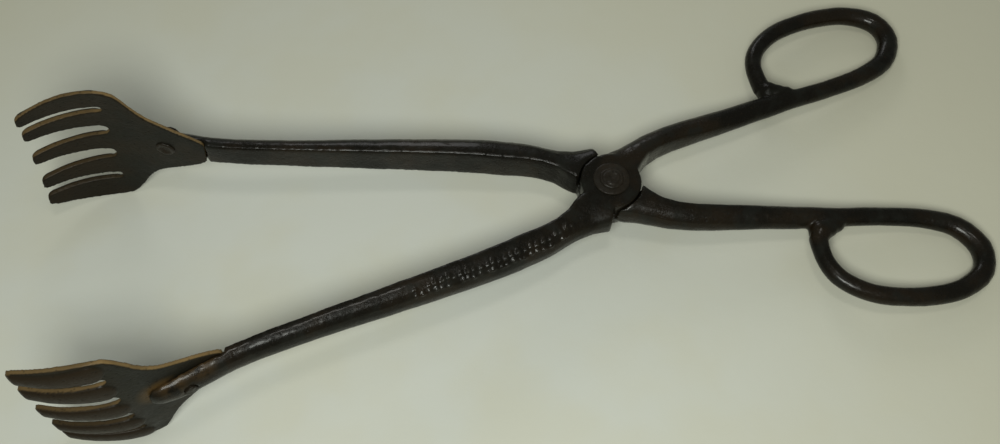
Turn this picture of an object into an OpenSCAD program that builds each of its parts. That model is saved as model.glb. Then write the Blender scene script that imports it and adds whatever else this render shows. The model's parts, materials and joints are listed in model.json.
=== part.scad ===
// Scissor-action cast-iron tongs with two five-tine fork heads and finger loops.
// Millimetres, +Z up. The part lies as it rests on a table: the lower corners of the
// forks and the far ends of the finger loops touch z = 0, jaws wide open.
// Both levers are one casting, the second turned half a turn about the long axis.

/* [Levers] */
// distance from the pivot to the tine tips
arm_reach = 230; // [190:1:280]
// distance from the pivot to the far end of a finger loop
handle_reach = 149; // [120:1:180]
// diameter of the half-lap disc round the pivot
hub_d = 25.4; // [21:0.2:31]
// full height of both half-lap discs together
hub_h = 15; // [12:0.5:18]
// thickness of the finger-loop rod at its thinnest
rod_d = 7.4; // [6:0.2:9]

/* [Forks] */
// overall height of a fork across its tines
fork_w = 76; // [63:1:92]
// length of the slots between the tines
tine_len = 32; // [22:1:36]
// width of one tine where it leaves the palm
tine_w = 11.2; // [9:0.2:12.4]
// width of one tine at its tip
tip_w = 6.4; // [4.4:0.2:8]
// thickness of the fork plate
plate_t = 1.8; // [1.2:0.1:2.6]
// depth of the dish across the fork
dish = 2.8; // [0:0.2:5]

/* [Rivets] */
// shank diameter of the pivot rivet
pivot_d = 8; // [6:0.5:10]
// outside diameter of the pivot washer
washer_d = 15.2; // [13:0.2:18]
// shank diameter of a fork rivet
fork_rivet_d = 5; // [4:0.25:6]

/* [Hidden] */
$fn = 48;

run_gap = 0.05;          // radial gap of every shank in its hole
face_gap = 0.05;         // gap between faces that slide or are drawn together
swing_gap = 0.35;        // gap between a disc and the other lever's scoop
washer_t = 0.8;
ring_n = 16;             // points round one lever section

arm_shift = arm_reach - 230;
handle_shift = handle_reach - 149;
rod_k = rod_d / 7.4;
half_h = hub_h / 2;

// the arm and handle stretch between two fixed ends, so hub, nose and loop keep shape
function arm_x(x) = x > -40 ? x : x > -150 ? x + arm_shift * (x + 40) / 110 : x - arm_shift;
function handle_x(x) = x < 34 ? x : x < 74 ? x + handle_shift * (x - 34) / 40 : x + handle_shift;

// fork plate: inner-face profile [x, y] down the middle of the fork
plate_line = [[-233, 52.0], [-230, 53.4], [-226, 54.9], [-222, 56.3], [-217.5, 57.4],
              [-213, 58.1], [-209, 58.5], [-205, 58.6], [-201, 58.3], [-197, 57.6],
              [-192, 56.0], [-187, 54.2], [-182, 52.5], [-177.6, 50.8], [-172, 48.6],
              [-167, 46.8], [-160, 44.6]];
rivet_x = -177.6;
rivet_y = 50.8;
rivet_turn = 21.3;       // the plate leans this much at the rivet
tail_x = -161.6;
fork_skew = 0.06;        // sideways lean of the tine row per unit of height

// lever stations: inner x, y, outer x, y, half height, crown, outer and inner roundness
seat = plate_t / cos(rivet_turn) + face_gap;
arm_list = [
    [-189.8, 57.1, -190.6, 57.9, 2.6, 0.4, 2.2, 3],
    [-188.4, 54.75, -189.6, 59.6, 5.0, 0.3, 2.2, 4],
    [-184.4, 53.3, -186.2, 60.2, 6.3, 0.2, 2.2, 8],
    [-178.0, 51.0, -180.6, 59.2, 6.8, 0.15, 2.2, 8],
    [-171.0, 48.3, -173.6, 57.0, 6.9, 0.15, 2.2, 8],
    [-164.0, 45.8, -166.4, 54.4, 6.9, 0.15, 2.2, 8],
    [-157.0, 43.6, -159.0, 51.7, 6.6, 0.15, 2.2, 8],
    [-150.0, 41.8, -152.0, 49.7, 6.6, 0.15, 2.2, 8],
    [-138.0, 39.2, -139.8, 47.2, 6.7, 0.15, 2.2, 8],
    [-124.0, 36.2, -125.8, 44.5, 6.9, 0.15, 2.2, 8],
    [-110.0, 33.3, -111.8, 42.1, 7.1, 0.15, 2.2, 8],
    [-95.0, 30.2, -96.8, 39.8, 7.4, 0.15, 2.2, 8],
    [-80.0, 27.1, -81.8, 37.4, 7.6, 0.15, 2.2, 8],
    [-65.0, 23.9, -67.0, 34.8, 7.8, 0.15, 2.3, 8],
    [-52.0, 20.8, -54.2, 32.1, 7.9, 0.15, 2.4, 8],
    [-42.0, 18.0, -44.8, 30.0, 7.9, 0.15, 2.5, 8],
    [-33.0, 15.7, -36.3, 27.7, 7.8, 0.15, 2.4, 8],
    [-26.0, 13.2, -29.5, 25.6, 7.7, 0.15, 2.3, 8],
    [-20.5, 10.0, -23.8, 23.1, 7.6, 0.15, 2.3, 8],
    [-17.0, 6.4, -17.8, 20.8, 7.5, 0.15, 2.3, 8],
    [-13.6, 3.6, -11.6, 19.2, 7.5, 0.2, 2.5, 8],
    [-0.5, 8.0, -3.8, 18.6, 7.5, 0.3, 2.8, 8]];
handle_list = [
    [10.6, -0.6, -0.6, -13.9, 7.5, 0.3, 3, 6],
    [13.6, -4.4, 2.3, -15.3, 7.5, 0.3, 2.8, 6],
    [15.6, -7.0, 7.2, -16.6, 7.4, 0.25, 2.5, 5],
    [19.5, -10.7, 13.0, -19.0, 7.1, 0.25, 2.3, 4.5],
    [25.5, -13.5, 19.9, -22.0, 6.7, 0.25, 2.2, 4],
    [33.0, -15.4, 28.6, -24.5, 6.3, 0.3, 2.2, 3.4],
    [42.0, -16.7, 38.8, -26.4, 5.8, 0.35, 2.1, 2.8],
    [53.0, -18.4, 50.6, -28.2, 5.3, 0.4, 2, 2.4],
    [64.0, -20.3, 62.0, -30.1, 4.9, 0.5, 2, 2],
    [74.0, -22.4, 72.2, -31.9, 4.7, 0.5, 2, 2]];
// loop rod: centre x, y, radius, running on from the handle and round to it again
loop_list = [
    [81, -28.4, 4.5], [89, -29.8, 4.2], [99, -31.1, 4.0], [111, -33.2, 3.95],
    [125.5, -36.7, 4.05], [138.0, -42.6, 4.4], [144.46, -53.6, 4.6], [141.4, -64.4, 4.4],
    [130, -70.2, 4.15], [117, -71.1, 4.0], [104, -69.2, 3.9], [94, -66.1, 3.85],
    [86.4, -61.3, 3.8], [81.3, -55.6, 3.75], [78.9, -49.2, 3.7], [78.7, -43, 3.75],
    [79.2, -37, 4.0]];
// balls that close the loop on the handle and fill its corner: x, y, radius
knuckles = [[81, -35.2, 4.9], [84.6, -33.4, 4.7], [88.5, -32.2, 4.3]];

// pose: the whole part is tilted so that forks and loops both reach the table
foot_x = -196 - arm_shift;
loop_foot = handle_x(144.4);
rest_tilt = atan((fork_w / 2 - 4.6 * rod_k) / (loop_foot - foot_x));
rest_lift = fork_w / 2 * cos(rest_tilt) + foot_x * sin(rest_tilt);
shift_x = 42.898 + (arm_shift - handle_shift) / 2;

// smooth curve through a list of number rows
function spline(p, i, t) =
    let (n = len(p) - 1, a = p[max(i - 1, 0)], b = p[i], c = p[min(i + 1, n)],
         d = p[min(i + 2, n)])
    0.5 * (2 * b + (c - a) * t + (2 * a - 5 * b + 4 * c - d) * t * t
           + (3 * b - a - 3 * c + d) * t * t * t);
function smooth(p, steps) =
    [for (i = [0 : len(p) - 2], s = [0 : steps - 1]) spline(p, i, s / steps),
     p[len(p) - 1]];
function sgn(v) = v < 0 ? -1 : 1;
function ring(s) = [for (k = [0 : ring_n - 1])
    let (a = 360 * (k + 0.5) / ring_n, c = cos(a), q = sin(a),
         e = 2 / (c > 0 ? s[6] : s[7]),
         u = c > 0 ? s[5] + (1 - s[5]) * pow(c, e) : s[5] - s[5] * pow(-c, e),
         v = sgn(q) * pow(abs(q), e))
    [s[0] + u * (s[2] - s[0]), s[1] + u * (s[3] - s[1]), s[4] * v]];
function flat_list(l) = [for (r = l, p = r) p];
function back(l) = [for (i = [len(l) - 1 : -1 : 0]) l[i]];

// solid skin over a row of sections
module skin(rings) {
    n = len(rings[0]);
    m = len(rings);
    polyhedron(points = flat_list(rings), convexity = 8, faces = concat(
        [[for (k = [0 : n - 1]) k]],
        [[for (k = [n - 1 : -1 : 0]) (m - 1) * n + k]],
        [for (i = [0 : m - 2], k = [0 : n - 1]) [i * n + k, (i + 1) * n + k, i * n + (k + 1) % n]],
        [for (i = [0 : m - 2], k = [0 : n - 1])
            [i * n + (k + 1) % n, (i + 1) * n + k, (i + 1) * n + (k + 1) % n]]));
}

function arm_row(r) = [arm_x(r[0]), r[1], arm_x(r[2]), r[3], r[4] * half_h / 7.5, r[5], r[6], r[7]];
function handle_row(r) = [handle_x(r[0]), r[1], handle_x(r[2]), r[3],
                          r[4] * (r[0] < 30 ? half_h / 7.5 : 1), r[5], r[6], r[7]];
rod_line = smooth([for (r = loop_list) [handle_x(r[0]), r[1], r[2] * rod_k]], 3);
function rod_row(i) =
    let (n = len(rod_line) - 1, p = rod_line[i],
         d = rod_line[min(i + 1, n)] - rod_line[max(i - 1, 0)],
         l = norm([d[0], d[1]]), nx = -d[1] / l * p[2], ny = d[0] / l * p[2])
    [p[0] + nx, p[1] + ny, p[0] - nx, p[1] - ny, p[2], 0.5, 2, 2];
arm_rings = [for (a = arm_list) ring(arm_row(a))];
handle_rings = [for (r = concat([for (a = handle_list) handle_row(a)],
                                [for (i = [0 : len(rod_line) - 1]) rod_row(i)])) ring(r)];

module at_rivet() {
    translate([rivet_x - arm_shift, rivet_y, 0]) rotate([0, 0, -rivet_turn]) rotate([-90, 0, 0])
        children();
}

// lower-lap lever: arm towards -X and +Y, handle towards +X and -Y, disc below z = 0
module lever() {
    difference() {
        union() {
            difference() {
                union() {
                    skin(arm_rings);
                    skin(back(handle_rings));
                }
                translate([0, 0, -face_gap / 2])
                    cylinder(h = hub_h, r = hub_d / 2 + swing_gap, $fn = 96);
            }
            translate([0, 0, -half_h]) cylinder(h = half_h - face_gap / 2, d = hub_d, $fn = 96);
            for (k = knuckles) translate([handle_x(k[0]), k[1], 0]) sphere(r = k[2] * rod_k);
        }
        translate([0, 0, -hub_h]) cylinder(h = 2 * hub_h, r = pivot_d / 2 + run_gap);
        at_rivet() translate([0, 0, -5]) cylinder(h = 20, r = fork_rivet_d / 2 + run_gap);
        plate_pocket();
    }
}

// fork plate surface
function plate_y(x, z) =
    let (r = lookup(x, plate_line), f = min(1, max(0, (-183 - x) / 16)),
         w = f * f * (3 - 2 * f))
    r - dish * pow(2 * z / fork_w, 2) * w;
plate_xs = [for (p = plate_line) p[0]];
plate_zs = [for (k = [-6 : 6]) k * fork_w / 11.6];
function plate_grid(off) = [for (x = plate_xs, z = plate_zs)
    [x - arm_shift, plate_y(x, z) + off, z]];

module plate_slab(low, high) {
    nx = len(plate_xs);
    nz = len(plate_zs);
    m = nx * nz;
    rim = concat([for (k = [0 : nz - 1]) k], [for (i = [1 : nx - 1]) i * nz + nz - 1],
                 [for (k = [nz - 2 : -1 : 0]) (nx - 1) * nz + k],
                 [for (i = [nx - 2 : -1 : 1]) i * nz]);
    r = len(rim);
    polyhedron(points = concat(plate_grid(low), plate_grid(high)), convexity = 6,
        faces = concat(
            [for (i = [0 : nx - 2], k = [0 : nz - 2]) let (a = i * nz + k) [a, a + 1, a + nz]],
            [for (i = [0 : nx - 2], k = [0 : nz - 2]) let (a = i * nz + k)
                [a + 1, a + nz + 1, a + nz]],
            [for (i = [0 : nx - 2], k = [0 : nz - 2]) let (a = i * nz + k + m) [a, a + nz, a + 1]],
            [for (i = [0 : nx - 2], k = [0 : nz - 2]) let (a = i * nz + k + m)
                [a + 1, a + nz, a + nz + 1]],
            [for (j = [0 : r - 1]) [rim[j], rim[j] + m, rim[(j + 1) % r]]],
            [for (j = [0 : r - 1]) [rim[(j + 1) % r], rim[j] + m, rim[(j + 1) % r] + m]]));
}

// half outline of the fork from the tail to the palm corner: [x, half height]
palm_line = [[-161.6, 5.6], [-162.4, 7.2], [-165, 9.2], [-169, 11.6], [-174, 14.3],
             [-179, 17.2], [-182.5, 19.4], [-185.3, 22.4], [-188, 26.4], [-190.5, 31],
             [-193, 34.6], [-196, 37], [-199.5, 38]];
tip_x = -230.6;
root_x = tip_x + tine_len;
outer_z = (fork_w - tine_w) / 2;
root_z = [0, 0.537 * outer_z, outer_z];            // tine centres at the palm
tip_z = [0, 0.522 * outer_z, outer_z - 4.4];       // and at the tips, drawn together
edge_line = [[-205, 0], [-211, 0.7], [-218, 2.2], [-225, 4.6],
             [tip_x - 2, fork_w / 2 - tip_z[2] - tip_w / 2 + 0.8]];
function arc2(cx, cy, r, a0, a1, n) = [for (i = [0 : n]) let (a = a0 + (a1 - a0) * i / n)
    [cx + r * cos(a), cy + r * sin(a)]];

// slot between tine j and the next one out, round at the palm and wider at the tips
module slot(j) {
    low = root_z[j] + tine_w / 2;
    high = root_z[j + 1] - tine_w / 2;
    g = (high - low) / 2;
    reach = (tine_len - g + 5) / (tine_len - g);
    polygon(concat([[tip_x - 5, low + (tip_z[j] + tip_w / 2 - low) * reach]],
                   arc2(root_x - g, low + g, g, -90, 90, 10),
                   [[tip_x - 5, high + (tip_z[j + 1] - tip_w / 2 - high) * reach]]));
}

// flat outline of the fork: palm and tail, less round-ended slots
module fork_outline() {
    top = fork_w / 2;
    side = concat([for (p = palm_line) [p[0], p[1] < 20 ? p[1] : 20 + (p[1] - 20) * (top - 20) / 18]],
                  [for (p = edge_line) [p[0], top - p[1]]]);
    difference() {
        polygon(concat(side, [for (i = [len(side) - 1 : -1 : 0]) [side[i][0], -side[i][1]]]));
        for (m = [0, 1]) mirror([0, m]) {
            for (j = [0, 1]) slot(j);
            for (j = [0 : 2]) tip_trim(tip_z[j], tip_w / 2 + 0.15, 2.2);
        }
    }
}

// rounded end of one tine, as the waste round it
module tip_trim(z, w, r) {
    polygon(concat([[tip_x - 4, z - w - 0.6], [tip_x + r, z - w - 0.6]],
                   arc2(tip_x + r, z - w + r, r, 270, 180, 5),
                   arc2(tip_x + r, z + w - r, r, 180, 90, 5),
                   [[tip_x + r, z + w + 0.6], [tip_x - 4, z + w + 0.6]]));
}

module fork_prism(h0, h1) {
    translate([-arm_shift, h1, 0]) rotate([90, 0, 0]) linear_extrude(height = h1 - h0)
        multmatrix([[1, fork_skew, 0, 0], [0, 1, 0, 0], [0, 0, 1, 0]]) fork_outline();
}

module fork() {
    difference() {
        intersection() {
            plate_slab(0, plate_t / cos(rivet_turn));
            fork_prism(30, 80);
        }
        at_rivet() translate([0, 0, -10]) cylinder(h = 20, r = fork_rivet_d / 2 + run_gap);
    }
}

// room cut in the lever's nose for the fork's tail
module plate_pocket() {
    intersection() {
        plate_slab(-8, seat);
        translate([-250 - arm_shift, 30, -30]) cube([250 + tail_x + 0.4, 40, 60]);
    }
}

// peened rivet through the fork's tail and the lever's nose, proud of the lever or flush
module fork_rivet(end) {
    at_rivet() {
        translate([0, 0, -0.9]) cylinder(h = 0.85, r1 = 2.9, r2 = 3.7);
        translate([0, 0, -0.1]) cylinder(h = end + 0.1, d = fork_rivet_d);
    }
}

module pivot_rivet_solid() {
    head_r = pivot_d / 2 + 0.9;
    top = half_h + face_gap + washer_t;
    translate([0, 0, -half_h - face_gap - 0.5]) cylinder(h = hub_h + 1.5 + washer_t, d = pivot_d);
    translate([0, 0, top + face_gap]) cylinder(h = 0.5, r = head_r);
    translate([0, 0, top + face_gap + 0.5]) cylinder(h = 0.5, r1 = head_r, r2 = head_r - 1.6);
    translate([0, 0, -half_h - face_gap - 1]) cylinder(h = 1, r = pivot_d / 2 + 2.4);
    translate([0, 0, -half_h - face_gap - 2]) cylinder(h = 1, r1 = pivot_d / 2 + 0.8, r2 = pivot_d / 2 + 2.4);
}

module washer_solid() {
    translate([0, 0, half_h + face_gap]) difference() {
        cylinder(h = washer_t, d = washer_d);
        translate([0, 0, -1]) cylinder(h = 3, r = pivot_d / 2 + run_gap);
    }
}

module rest_pose() {
    translate([shift_x, 0, rest_lift]) rotate([0, rest_tilt, 0]) children();
}

module lever_a() { color([0.2, 0.18, 0.16]) rest_pose() lever(); }
module lever_b() { color([0.22, 0.2, 0.17]) rest_pose() rotate([180, 0, 0]) lever(); }
module fork_a() { color([0.26, 0.25, 0.23]) rest_pose() fork(); }
module fork_b() { color([0.26, 0.25, 0.23]) rest_pose() rotate([180, 0, 0]) fork(); }
module fork_rivet_a() { color([0.3, 0.28, 0.26]) rest_pose() fork_rivet(9); }
module fork_rivet_b() { color([0.3, 0.28, 0.26]) rest_pose() rotate([180, 0, 0]) fork_rivet(7.2); }
module pivot_rivet() { color([0.33, 0.3, 0.27]) rest_pose() pivot_rivet_solid(); }
module pivot_washer() { color([0.33, 0.3, 0.27]) rest_pose() washer_solid(); }

lever_a();
lever_b();
fork_a();
fork_b();
fork_rivet_a();
fork_rivet_b();
pivot_rivet();
pivot_washer();
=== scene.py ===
import json
import math
import random

import bmesh
import bpy
from mathutils import Matrix, Vector, noise


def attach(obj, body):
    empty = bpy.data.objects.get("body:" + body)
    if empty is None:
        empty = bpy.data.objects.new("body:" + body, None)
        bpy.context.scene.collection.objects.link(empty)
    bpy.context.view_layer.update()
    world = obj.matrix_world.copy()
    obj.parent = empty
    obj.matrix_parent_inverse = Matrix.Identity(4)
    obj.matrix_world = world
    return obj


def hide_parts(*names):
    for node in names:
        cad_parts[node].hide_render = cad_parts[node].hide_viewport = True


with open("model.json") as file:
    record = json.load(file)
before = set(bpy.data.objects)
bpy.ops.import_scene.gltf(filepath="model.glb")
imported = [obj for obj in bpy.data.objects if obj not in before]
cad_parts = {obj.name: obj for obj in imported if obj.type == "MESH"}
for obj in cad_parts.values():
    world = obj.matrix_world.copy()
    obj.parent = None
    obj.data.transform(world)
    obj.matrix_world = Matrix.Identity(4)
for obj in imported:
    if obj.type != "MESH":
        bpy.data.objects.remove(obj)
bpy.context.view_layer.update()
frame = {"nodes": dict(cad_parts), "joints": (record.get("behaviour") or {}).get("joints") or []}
print("frame loaded")

mm = 0.001
joint = frame["joints"][0]
pivotAt = Vector(joint["pos_m"])
pivotAxis = Vector(joint["axis"]).normalized()
restTilt = math.atan2(pivotAxis.x, pivotAxis.z)

# flat drawing of one lever, in millimetres round the pivot, laid into the row frame
layDown = Matrix.Translation(pivotAt) @ Matrix.Rotation(restTilt, 4, "Y")
drawingToRow = {
    "a": layDown @ Matrix.Scale(mm, 4),
    "b": layDown @ Matrix.Rotation(math.pi, 4, "X") @ Matrix.Scale(mm, 4),
}


def ease(low, high, value):
    t = min(1.0, max(0.0, (value - low) / (high - low)))
    return t * t * (3 - 2 * t)


def newPiece(name, bm):
    mesh = bpy.data.meshes.new(name)
    bm.to_mesh(mesh)
    bm.free()
    mesh.shade_smooth()
    piece = bpy.data.objects.new(name, mesh)
    bpy.context.scene.collection.objects.link(piece)
    return piece


def remeshedCopy(node, name, voxel, passes):
    # a merged copy of the node's mesh, remeshed fine and rounded like a casting
    bm = bmesh.new()
    bm.from_mesh(frame["nodes"][node].data)
    bmesh.ops.remove_doubles(bm, verts=bm.verts, dist=0.001 * mm)
    bmesh.ops.recalc_face_normals(bm, faces=bm.faces)
    piece = newPiece(name, bm)
    remesh = piece.modifiers.new("remesh", "REMESH")
    remesh.mode = "VOXEL"
    remesh.voxel_size = voxel * mm
    bpy.context.view_layer.update()
    evaluated = piece.evaluated_get(bpy.context.evaluated_depsgraph_get())
    fine = bpy.data.meshes.new_from_object(evaluated)
    piece.modifiers.clear()
    bm = bmesh.new()
    bm.from_mesh(fine)
    for _ in range(passes):
        bmesh.ops.smooth_vert(bm, verts=bm.verts, factor=0.5,
                              use_axis_x=True, use_axis_y=True, use_axis_z=True)
    bm.to_mesh(piece.data)
    bm.free()
    bpy.data.meshes.remove(fine)
    return piece


def sculpt(piece, side, shape, marks):
    # moves each vertex along its normal by shape(point, normal), both in the lever's drawing,
    # and stores the marks that the finishes read
    toDrawing = drawingToRow[side].inverted()
    turn = toDrawing.to_3x3().normalized()
    mesh = piece.data
    normals = [v.normal.copy() for v in mesh.vertices]
    layers = {mark: mesh.attributes.new(mark, "FLOAT", "POINT") for mark in marks}
    for vertex, normal in zip(mesh.vertices, normals):
        height, values = shape(toDrawing @ vertex.co, (turn @ normal).normalized())
        vertex.co += normal * height * mm
        for mark, value in values.items():
            layers[mark].data[vertex.index].value = value
    mesh.update()
    mesh.shade_smooth()


def turned(name, profile, side, steps, cuts, rough, grain, place=Matrix.Identity(4)):
    # profile of (radius, height) in millimetres spun round its axis, then dented by hand
    bm = bmesh.new()
    points = [bm.verts.new((r, 0, z)) for r, z in profile]
    edges = [bm.edges.new(pair) for pair in zip(points, points[1:])]
    bmesh.ops.subdivide_edges(bm, edges=edges, cuts=cuts)
    bmesh.ops.spin(bm, geom=bm.verts[:] + bm.edges[:], cent=(0, 0, 0), axis=(0, 0, 1),
                   angle=math.tau, steps=steps, use_merge=True)
    bmesh.ops.remove_doubles(bm, verts=bm.verts, dist=0.002)
    bmesh.ops.recalc_face_normals(bm, faces=bm.faces)
    bm.normal_update()
    moves = [(v, v.normal * rough * noise.noise(v.co * grain)) for v in bm.verts]
    for vertex, move in moves:
        vertex.co += move
    bmesh.ops.transform(bm, matrix=drawingToRow[side] @ place, verts=bm.verts)
    return newPiece(name, bm)


class Wire:
    # one output socket, with the sums that a finish does on it
    def __init__(self, bench, socket):
        self.bench = bench
        self.socket = socket

    def sum(self, operation, first, second):
        return self.bench.add("ShaderNodeMath", {"operation": operation}, [first, second])

    def __add__(self, other):
        return self.sum("ADD", self, other)

    def __mul__(self, other):
        return self.sum("MULTIPLY", self, other)

    def __sub__(self, other):
        return self.sum("SUBTRACT", self, other)

    def __rsub__(self, other):
        return self.sum("SUBTRACT", other, self)

    __radd__ = __add__
    __rmul__ = __mul__


class Bench:
    # one material and its node tree
    def __init__(self, name):
        self.material = bpy.data.materials.new(name)
        self.material.use_nodes = True
        self.tree = self.material.node_tree
        self.shader = self.tree.nodes["Principled BSDF"]

    def put(self, socket, value):
        if isinstance(value, Wire):
            self.tree.links.new(value.socket, socket)
        else:
            socket.default_value = value

    def add(self, kind, settings, inputs, output=0):
        node = self.tree.nodes.new(kind)
        for name, value in settings.items():
            setattr(node, name, value)
        pairs = inputs.items() if isinstance(inputs, dict) else enumerate(inputs)
        for key, value in pairs:
            self.put(node.inputs[key], value)
        return Wire(self, node.outputs[output])

    def place(self):
        return self.add("ShaderNodeTexCoord", {}, {}, "Object")

    def cloud(self, at, size, detail, roughness=0.55):
        # noise whose features are about size millimetres
        return self.add("ShaderNodeTexNoise", {}, {"Vector": at, "Scale": 1 / (size * mm),
                        "Detail": detail, "Roughness": roughness}, "Fac")

    def cells(self, at, size):
        return self.add("ShaderNodeTexVoronoi", {}, {"Vector": at, "Scale": 1 / (size * mm)},
                        "Distance")

    def span(self, value, low, high, start=0.0, end=1.0):
        return self.add("ShaderNodeMapRange", {"interpolation_type": "SMOOTHSTEP"},
                        {"Value": value, "From Min": low, "From Max": high,
                         "To Min": start, "To Max": end})

    def mixed(self, share, first, second):
        colours = [c if isinstance(c, Wire) else (*c, 1) for c in (first, second)]
        return self.add("ShaderNodeMix", {"data_type": "RGBA"},
                        {0: share, 6: colours[0], 7: colours[1]}, 2)

    def mark(self, name):
        return self.add("ShaderNodeAttribute", {"attribute_name": name}, {}, "Fac")

    def near(self, at, centre, reach):
        # 1 round the centre, fading to 0 at reach
        gap = self.add("ShaderNodeVectorMath", {"operation": "DISTANCE"}, [at, centre], "Value")
        return 1 - self.span(gap, reach * 0.3, reach)

    def bump(self, height, depth, strength=1.0, under=None):
        inputs = {"Height": height, "Distance": depth * mm, "Strength": strength}
        if under:
            inputs["Normal"] = under
        return self.add("ShaderNodeBump", {}, inputs)

    def finish(self, **sockets):
        for name, value in sockets.items():
            self.put(self.shader.inputs[name.replace("_", " ")], value)
        return self.material


# what every iron here shares: sizes of its patterns in millimetres, where each colour sets in
# along its pattern, and the pits
ironValues = {
    "broad": 26, "patch": 7, "grain": 1.3, "sand": 0.45, "pit": 2.1,
    "brownSpan": (0.4, 0.62), "greySpan": (0.46, 0.68), "rustSpan": (0.56, 0.78),
    "bareSpan": (0.75, 1.1, 0.75, 1.0), "wearGlintSpan": (0.35, 0.65), "stainSpan": (0.30, 0.5),
    "greyShare": 0.75, "ribSheenShare": 0.85,
    "oilSpan": (0.3, 0.7), "leastOil": 0.5,
    "pitSpan": (0.06, 0.3), "pitColour": (0.004, 0.0035, 0.003), "pitShare": 0.5,
    "pitDepth": 0.12, "pitStrength": 0.6, "pitRough": 0.12,
    "grainRelief": 0.7, "sandRelief": 0.3, "patchRough": 0.35, "grainRough": 0.3,
}


def ironFinish(name, look):
    b = Bench(name)
    iron = ironValues
    at = b.place()
    broad = b.cloud(at, iron["broad"], 3)
    patch = b.cloud(at, iron["patch"], 4)
    grain = b.cloud(at, iron["grain"], 4, 0.6)
    sand = b.cloud(at, iron["sand"], 2)
    pits = 1 - b.span(b.cells(at, iron["pit"]), *iron["pitSpan"])
    colour = b.mixed(b.span(broad, *iron["brownSpan"]), look["dark"], look["brown"])
    colour = b.mixed(b.span(patch, *iron["greySpan"]) * iron["greyShare"], colour, look["grey"])
    colour = b.mixed(b.span(grain, *iron["rustSpan"]) * look["rustShare"], colour, look["rust"])
    if "edge" in look:
        bare = b.span(patch + broad, *iron["bareSpan"])
        colour = b.mixed(b.mark("edge") * bare, colour, look["edge"])
        # painted warm reflection: the tine backs and their rounded crowns are tinted brown
        colour = b.mixed(b.mark("ribSheen") * iron["ribSheenShare"], colour, look["ribSheen"])
    if "wearGlint" in look:
        # raised beads painted paler: partly wear on their tops, partly a painted glint
        colour = b.mixed(b.mark("wearGlint") * b.span(grain, *iron["wearGlintSpan"]), colour, look["wearGlint"])
    for centre, reach, tint in look["stains"]:
        share = b.near(at, centre, reach) * b.span(patch, *iron["stainSpan"])
        if "stainFace" in look:
            share = share * b.mark(look["stainFace"])
        colour = b.mixed(share, colour, tint)
    colour = b.mixed(pits * iron["pitShare"], colour, iron["pitColour"])
    roughness = (look["roughness"] + (patch - 0.5) * iron["patchRough"]
                 + (grain - 0.5) * iron["grainRough"] + pits * iron["pitRough"])
    normal = b.bump(grain * iron["grainRelief"] + sand * iron["sandRelief"], look["relief"])
    normal = b.bump(1 - pits, iron["pitDepth"], iron["pitStrength"], normal)
    oil = b.span(broad, *iron["oilSpan"], look["oil"] * iron["leastOil"], look["oil"])
    return b.finish(Base_Color=colour, Roughness=roughness, Normal=normal, Coat_Weight=oil,
                    Coat_Roughness=look["oilRoughness"], Specular_IOR_Level=look["specular"])


# stains are (centre in metres, reach, colour)
leverLook = {
    "dark": (0.0058, 0.0049, 0.0031), "brown": (0.0124, 0.0084, 0.0042),
    "grey": (0.0098, 0.0100, 0.0074), "rust": (0.026, 0.016, 0.008), "rustShare": 0.4,
    "wearGlint": (0.040, 0.037, 0.030),
    "roughness": 0.30, "relief": 0.24, "oil": 0.24, "oilRoughness": 0.12, "specular": 0.10,
    "stains": [((-0.1385, -0.0505, 0.039), 0.011, (0.080, 0.046, 0.016)),
               ((-0.1270, -0.0490, 0.041), 0.009, (0.045, 0.028, 0.012))],
}
forkLook = {
    "dark": (0.0092, 0.0090, 0.0062), "brown": (0.0150, 0.0110, 0.0058),
    "grey": (0.0145, 0.0143, 0.0098), "rust": (0.032, 0.021, 0.010), "rustShare": 0.35,
    "edge": (0.200, 0.132, 0.056), "ribSheen": (0.0190, 0.0122, 0.0062),
    "roughness": 0.44, "relief": 0.2, "oil": 0.08, "oilRoughness": 0.2, "specular": 0.09,
    "stains": [((-0.1440, -0.0505, 0.039), 0.012, (0.13, 0.076, 0.026))],
    "stainFace": "outer",
}
rivetLook = {
    "dark": (0.0125, 0.0096, 0.0060), "brown": (0.0200, 0.0145, 0.0088),
    "grey": (0.0165, 0.0145, 0.0105), "rust": (0.034, 0.022, 0.011), "rustShare": 0.45,
    "roughness": 0.40, "relief": 0.22, "oil": 0.10, "oilRoughness": 0.2, "specular": 0.15,
    "stains": [],
}
leverIron = ironFinish("leverIron", leverLook)
forkIron = ironFinish("forkIron", forkLook)
rivetIron = ironFinish("rivetIron", rivetLook)
print("finishes made")


def finishPiece(piece, side, material, node):
    piece.data.materials.clear()
    piece.data.materials.append(material)
    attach(piece, "lever_" + side + "_side")
    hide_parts(node)


# the two levers, from here on in millimetres of the lever's drawing
leverValues = {
    "voxel": 0.6, "passes": 6,
    "cast": 0.16, "castSize": 9.0,           # slow waves of the cast skin
    "fineCast": 0.05, "fineCastSize": 2.2,
    "beadStart": (-88.0, 37.6), "beadEnd": (-19.0, 20.5), "beadCount": 26,
    "beadAngle": 52.0, "armRadius": 6.5,     # degrees round the arm from its outer side
    "beadHeight": 0.8, "beadGlint": 0.5,
    "beadMargin": 2, "beadBand": 3.6, "beadReach": 2.2, "beadRound": (0.35, 1.25),
    "armSide": 5,                            # least y that is still on the arm
    "beadFacing": 0.3,                       # the drawing's under side, which is lever b's top
    "beadSeed": 7, "beadLost": 0.12,         # share of the beads worn away
    "beadShift": 0.5, "beadRow": (0.9, 1.7), "beadLean": 0.7,
    "beadLong": (0.65, 1.15), "beadWide": (0.7, 1.3), "beadSize": (0.55, 1.0),
}


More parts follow.
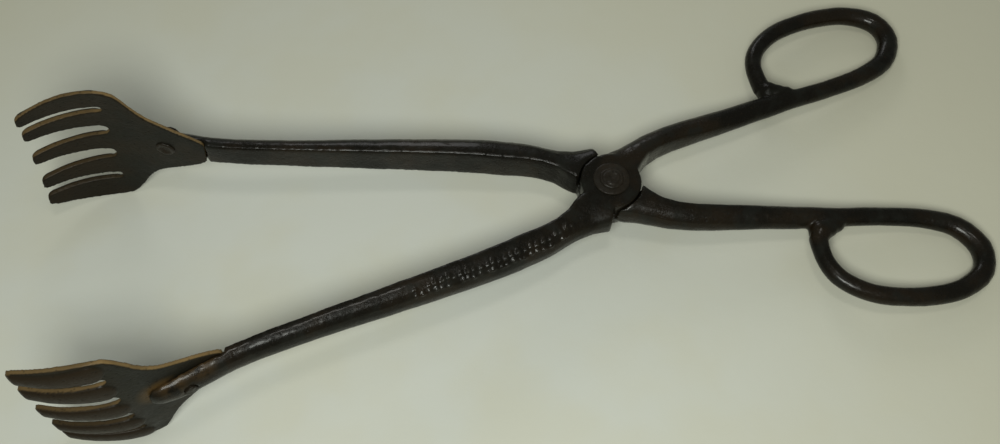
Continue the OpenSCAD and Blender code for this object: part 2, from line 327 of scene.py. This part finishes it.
def beadRows(values):
    # a plain double row of small worn beads, jittered: (place along, row, long, wide, lean, size)
    draw = random.Random(values["beadSeed"])
    shift = values["beadShift"]
    lean = values["beadLean"]
    start, end = Vector(values["beadStart"]), Vector(values["beadEnd"])
    beads = []
    for i in range(values["beadCount"]):
        point = start.lerp(end, (i + 0.5) / values["beadCount"])
        for row in (-1, 1):
            if draw.random() < values["beadLost"]:
                continue
            beads.append((point.x + draw.uniform(-shift, shift), row * draw.uniform(*values["beadRow"]),
                          draw.uniform(*values["beadLong"]), draw.uniform(*values["beadWide"]),
                          draw.uniform(-lean, lean), draw.uniform(*values["beadSize"])))
    return beads


def leverShape(values):
    beads = beadRows(values)
    start, end = values["beadStart"], values["beadEnd"]
    middle = math.radians(values["beadAngle"])
    slope = math.atan2(end[1] - start[1], end[0] - start[0])
    outward = Vector((-math.sin(slope), math.cos(slope), 0))
    low, high = start[0] - values["beadMargin"], end[0] + values["beadMargin"]

    def beadAt(point, normal):
        around = math.atan2(-normal.z, normal.dot(outward))
        across = (around - middle) * values["armRadius"]
        bead = 0.0
        if abs(across) < values["beadBand"]:
            for x, row, long, wide, lean, size in beads:
                dx = point.x - x
                if abs(dx) > values["beadReach"]:
                    continue
                dy = across - row
                u = (dx * math.cos(lean) + dy * math.sin(lean)) / long
                v = (dy * math.cos(lean) - dx * math.sin(lean)) / wide
                bead = max(bead, size * (1 - ease(*values["beadRound"], math.hypot(u, v))))
        return bead

    def shape(point, normal):
        height = values["cast"] * noise.noise(point / values["castSize"])
        height += values["fineCast"] * noise.noise(point / values["fineCastSize"])
        onArm = low < point.x < high and point.y > values["armSide"]
        bead = beadAt(point, normal) if onArm and normal.z < values["beadFacing"] else 0.0
        # the bead tops are marked for a paler colour: wear, and a painted glint
        return height + bead * values["beadHeight"], {"wearGlint": bead * values["beadGlint"]}
    return shape


for side in "ab":
    lever = remeshedCopy("lever_" + side, "castLever_" + side,
                         leverValues["voxel"], leverValues["passes"])
    sculpt(lever, side, leverShape(leverValues), ["wearGlint"])
    finishPiece(lever, side, leverIron, "lever_" + side)
print("levers made")

# the two forks
forkValues = {
    "voxel": 0.42, "passes": 4,
    "tip": -230.6, "root": -198.6, "skew": 0.06,
    "rootCentres": (0, 17.4, 32.4), "rootHalf": 5.6,
    "tipCentres": (0, 16.9, 28), "tipHalf": 3.2,
    "crown": 1.5, "crownPastRoot": 1.6,      # rounded back of a tine, and its run into the palm
    "crownFade": (-0.6, 3.0),
    "cast": 0.10, "castSize": 8.0,
    "edgeTurn": (0.45, 0.8), "backTurn": 0.1, "outerTurn": 0.4,   # by the skin's normal
    "bareHeight": (-24, 22), "bareLeast": 0.15,   # the tan of the cut edges is strongest at the top and fades lower down
    "tineFade": (-8, 6), "tineSheen": 0.5,
}


def forkShape(values, up):
    # up is +1 or -1, whichever way the drawing's z points once the fork is laid in the row
    tip, root = values["tip"], values["root"]
    crownEnd = root + values["crownPastRoot"]
    least = values["bareLeast"]
    tineFade = [root + run for run in values["tineFade"]]

    def crownAt(straight, z):
        out = min(1.0, max(0.0, (root - straight) / (root - tip)))
        half = values["rootHalf"] + (values["tipHalf"] - values["rootHalf"]) * out
        centres = zip(values["rootCentres"], values["tipCentres"])
        gap = min(abs(abs(z) - rootZ - (tipZ - rootZ) * out) for rootZ, tipZ in centres)
        past = max(0.0, straight - crownEnd + half)
        off = math.hypot(gap, past) / half
        return math.sqrt(1 - off * off) * ease(*values["crownFade"], straight - tip) if off < 1 else 0.0

    def shape(point, normal):
        height = values["cast"] * noise.noise(point / values["castSize"])
        straight = point.x - values["skew"] * point.z
        onBack = normal.y > values["backTurn"] and straight < crownEnd
        crown = crownAt(straight, point.z) if onBack else 0.0
        edge = 1 - ease(*values["edgeTurn"], abs(normal.y))
        edge *= least + (1 - least) * ease(*values["bareHeight"], up * point.z)
        # painted warm reflection: the tines, fading into the palm, and their crowns are marked for a
        # brown tint
        tine = values["tineSheen"] * (1 - ease(*tineFade, straight))
        outer = ease(0.0, values["outerTurn"], normal.y)
        ribSheen = max(tine, ease(0.0, 0.5, crown))
        return height + crown * values["crown"], {"edge": edge, "outer": outer, "ribSheen": ribSheen}
    return shape


for side, up in (("a", 1), ("b", -1)):
    fork = remeshedCopy("fork_" + side, "dishedFork_" + side, forkValues["voxel"], forkValues["passes"])
    sculpt(fork, side, forkShape(forkValues, up), ["edge", "ribSheen", "outer"])
    finishPiece(fork, side, forkIron, "fork_" + side)
print("forks made")

# fork rivets: lever a's outer end stands proud, lever b's is flush
forkRivetValues = {
    "at": (-177.6, 50.8), "lean": 21.3, "steps": 48, "cuts": 2, "rough": 0.28, "grain": 0.55,
    "inner": [(0, -0.15), (0.9, -0.1), (1.7, -0.35), (2.4, -0.75), (3.1, -0.85), (3.7, -0.6),
              (3.95, -0.3), (3.8, -0.06), (2.5, -0.06), (2.48, 6.4)],
    "outer": {"a": [(3.0, 7.4), (3.3, 8.2), (3.0, 8.8), (1.8, 9.1), (0.8, 9.15), (0, 9.15)],
              "b": [(2.48, 7.25), (2.1, 7.4), (1.1, 7.45), (0, 7.45)]},
}
forkRivetSeat = (Matrix.Translation((*forkRivetValues["at"], 0))
                 @ Matrix.Rotation(math.radians(-forkRivetValues["lean"]), 4, "Z")
                 @ Matrix.Rotation(math.radians(-90), 4, "X"))
for side in "ab":
    rivet = turned("peenedForkRivet_" + side, forkRivetValues["inner"] + forkRivetValues["outer"][side],
                   side, forkRivetValues["steps"], forkRivetValues["cuts"],
                   forkRivetValues["rough"], forkRivetValues["grain"], forkRivetSeat)
    finishPiece(rivet, side, rivetIron, "fork_rivet_" + side)

pivotValues = {
    "rivet": [(0, 9.0), (1.2, 9.05), (2.3, 9.2), (2.9, 9.3), (3.3, 9.1), (3.7, 8.95), (4.3, 9.0),
              (4.75, 8.8), (4.9, 8.55), (4.85, 8.42), (4.0, 8.4), (4.0, -7.6), (6.2, -7.6),
              (6.4, -7.9), (6.2, -8.5), (5.4, -9.1), (3.6, -9.45), (1.6, -9.5), (0, -9.5)],
    "rivetSteps": 72, "rivetCuts": 3, "rivetRough": 0.3, "rivetGrain": 0.62,
    "washer": [(4.06, 7.6), (4.06, 8.2), (4.4, 8.36), (5.6, 8.38), (6.8, 8.34), (7.3, 8.22),
               (7.56, 7.9), (7.54, 7.6), (7.2, 7.55), (4.3, 7.55), (4.06, 7.6)],
    "washerSteps": 96, "washerCuts": 2, "washerRough": 0.14, "washerGrain": 0.5,
}
for name, node, kind in (("peenedPivotRivet", "pivot_rivet", "rivet"),
                         ("pivotWasher", "pivot_washer", "washer")):
    piece = turned(name, pivotValues[kind], "a", pivotValues[kind + "Steps"], pivotValues[kind + "Cuts"],
                   pivotValues[kind + "Rough"], pivotValues[kind + "Grain"])
    finishPiece(piece, "a", rivetIron, node)
print("rivets made")

# floor, light and camera, in metres
stageValues = {
    "floorSize": 1.6, "floorColour": (0.60, 0.615, 0.555), "floorShade": (0.58, 0.565, 0.44),
    "paintedLightSpot": (-0.10, -0.06, 0), "paintedLightReach": 0.34,
    "paperCloud": 70, "paperSpan": (0.35, 0.6, 0.55, 1.0), "paperRoughness": 0.75,
    "paperCrease": 9, "creaseDepth": 0.3, "creaseStrength": 0.4,
    "skyColour": (0.90, 0.96, 0.90), "skyStrength": 0.20,
    "lamps": [
        {"name": "ceilingLamp", "at": (0.05, -0.04, 0.95), "aim": (0, 0, 0),
         "size": 0.16, "power": 0.7, "colour": (1, 0.97, 0.9)},
        {"name": "frontGlow", "at": (-0.10, -0.31, 0.49), "aim": (-0.06, -0.06, 0),
         "size": 0.2, "power": 2.15, "colour": (0.97, 1.0, 0.93)},
        {"name": "backLamp", "at": (0.10, 0.85, 0.45), "aim": (0, 0, 0.02),
         "size": 0.3, "power": 0.8, "colour": (1, 1, 1)},
    ],
}
bm = bmesh.new()
bmesh.ops.create_grid(bm, x_segments=4, y_segments=4, size=stageValues["floorSize"])
floor = newPiece("floor", bm)
paper = Bench("palePaper")
paperAt = paper.place()
# painted pool of light: the floor is paler round a spot near the middle, broken up by a cloud, and
# painted darker and yellower shade outwards (floorShade)
paintedLightPool = (paper.near(paperAt, stageValues["paintedLightSpot"], stageValues["paintedLightReach"])
        * paper.span(paper.cloud(paperAt, stageValues["paperCloud"], 3), *stageValues["paperSpan"]))
floor.data.materials.append(paper.finish(
    Base_Color=paper.mixed(paintedLightPool, stageValues["floorShade"], stageValues["floorColour"]),
    Roughness=stageValues["paperRoughness"],
    Normal=paper.bump(paper.cloud(paperAt, stageValues["paperCrease"], 3),
                      stageValues["creaseDepth"], stageValues["creaseStrength"])))

world = bpy.data.worlds.new("softRoom")
world.use_nodes = True
sky = world.node_tree.nodes["Background"]
sky.inputs["Color"].default_value = (*stageValues["skyColour"], 1)
sky.inputs["Strength"].default_value = stageValues["skyStrength"]
bpy.context.scene.world = world


def lamp(name, at, aim, size, power, colour):
    light = bpy.data.lights.new(name, "AREA")
    light.shape = "DISK"
    light.size = size
    light.energy = power
    light.color = colour
    body = bpy.data.objects.new(name, light)
    body.location = at
    body.rotation_euler = (Vector(aim) - Vector(at)).to_track_quat("-Z", "Y").to_euler()
    bpy.context.scene.collection.objects.link(body)


for values in stageValues["lamps"]:
    lamp(**values)

cameraValues = {
    "sensor": 36, "lens": 41.2, "at": (-0.0289, -0.2224, 0.4355),
    "right": (0.9785, -0.2007, -0.0473), "back": (-0.0519, -0.4616, 0.8856),
}
cameraData = bpy.data.cameras.new("camera")
cameraData.sensor_width = cameraValues["sensor"]
cameraData.lens = cameraValues["lens"]
camera = bpy.data.objects.new("camera", cameraData)
cameraBack = Vector(cameraValues["back"]).normalized()
cameraUp = cameraBack.cross(Vector(cameraValues["right"]).normalized()).normalized()
cameraRight = cameraUp.cross(cameraBack)
camera.matrix_world = Matrix.Translation(cameraValues["at"]) @ Matrix(
    (cameraRight, cameraUp, cameraBack)).transposed().to_4x4()
bpy.context.scene.collection.objects.link(camera)
bpy.context.scene.camera = camera
bpy.context.scene.view_settings.view_transform = "Standard"
print("stage set")
